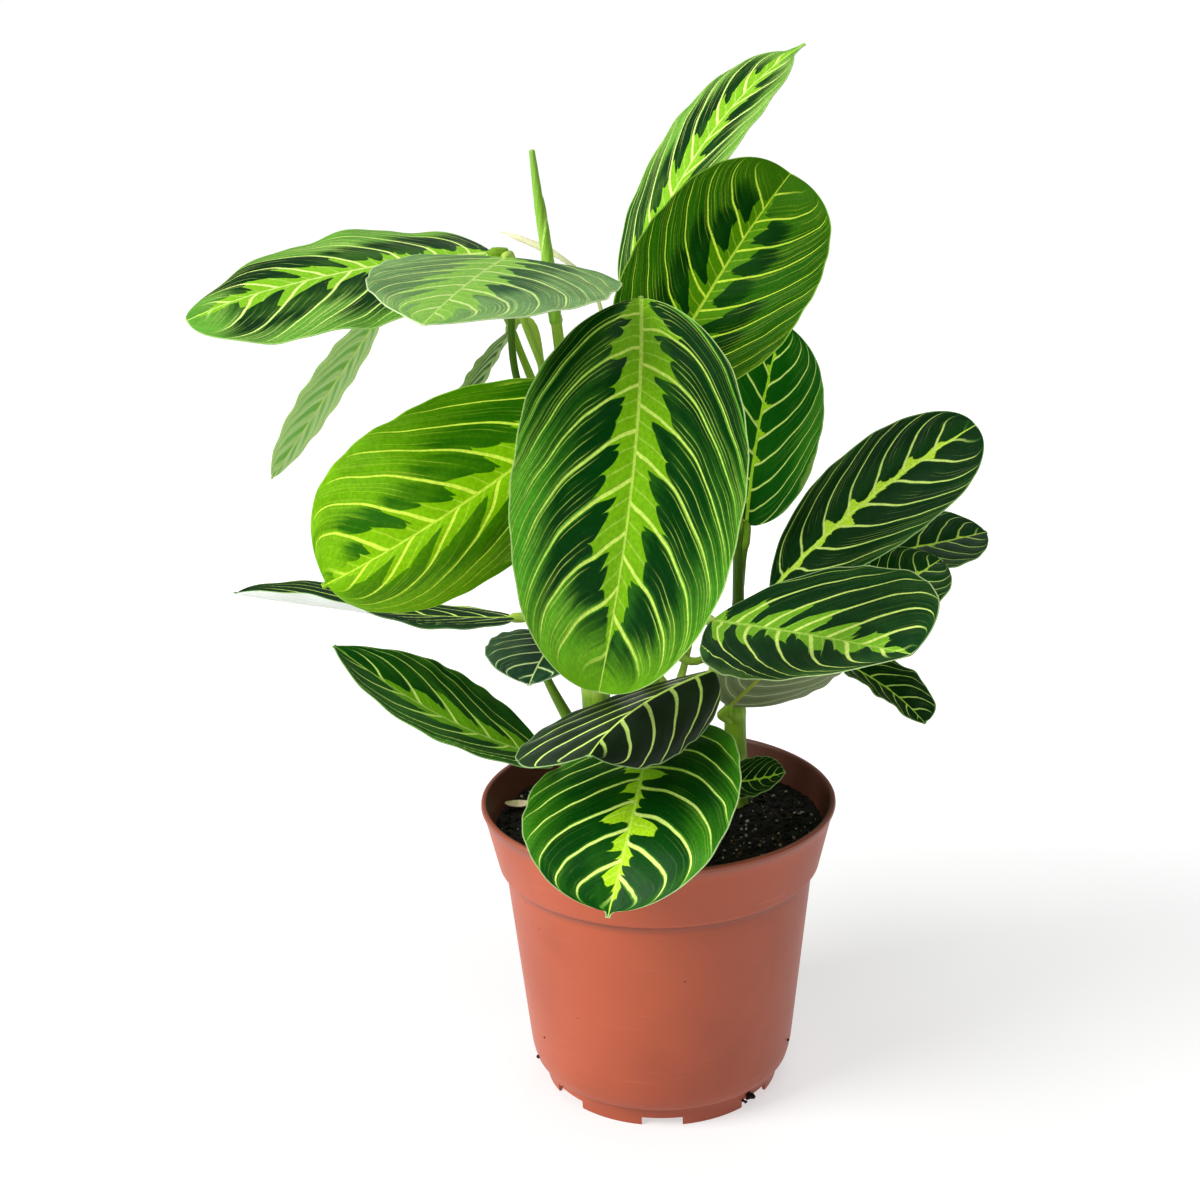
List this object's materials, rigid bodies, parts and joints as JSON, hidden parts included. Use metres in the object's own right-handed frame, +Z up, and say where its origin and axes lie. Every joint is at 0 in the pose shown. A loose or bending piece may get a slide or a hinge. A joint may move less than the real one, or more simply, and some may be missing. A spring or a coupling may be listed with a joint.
{
  "type": "potted plant",
  "caption": "Leafy houseplant with broad patterned leaves on thin stems, growing from soil in a round plastic nursery pot.",
  "frame": {"origin": "centre of the whole plant's bounding box, at the level of the floor under the pot", "axes": "+Z up, -Y toward the side shown in the picture, +X to its right; the pot's axis stands at x 10.2 mm, y 17.1 mm"},
  "size_m": [0.2594, 0.1624, 0.3459],
  "materials": {
    "pot": "satin",
    "soil": "matte",
    "stems": "satin",
    "leaf": "satin",
    "leaf_lime": "satin",
    "new_leaf": "satin",
    "flower": "satin",
    "dry_sheath": "matte"
  },
  "bodies": {
    "root": {"pot": "pot", "soil": "soil", "cane_left": "stems", "cane_middle": "stems", "cane_right": "stems", "leaf_top_left": "leaf", "leaf_draped": "leaf", "leaf_hanging": "leaf", "leaf_narrow_back": "leaf", "leaf_top": "leaf", "leaf_upper_right": "leaf", "leaf_front_big": "leaf", "leaf_lime": "leaf_lime", "leaf_behind": "leaf", "leaf_right": "leaf", "leaf_far_right": "leaf", "leaf_tucked": "leaf", "leaf_right_front": "leaf", "leaf_underside": "leaf", "leaf_crumpled": "leaf", "leaf_edge_left": "leaf", "leaf_lower_left": "leaf", "leaf_small": "leaf", "leaf_arched": "leaf", "leaf_front_low": "leaf", "leaf_little": "leaf", "spike": "new_leaf", "flower_stalk": "flower", "dry_sheath": "dry_sheath"}
  },
  "joints": []
}
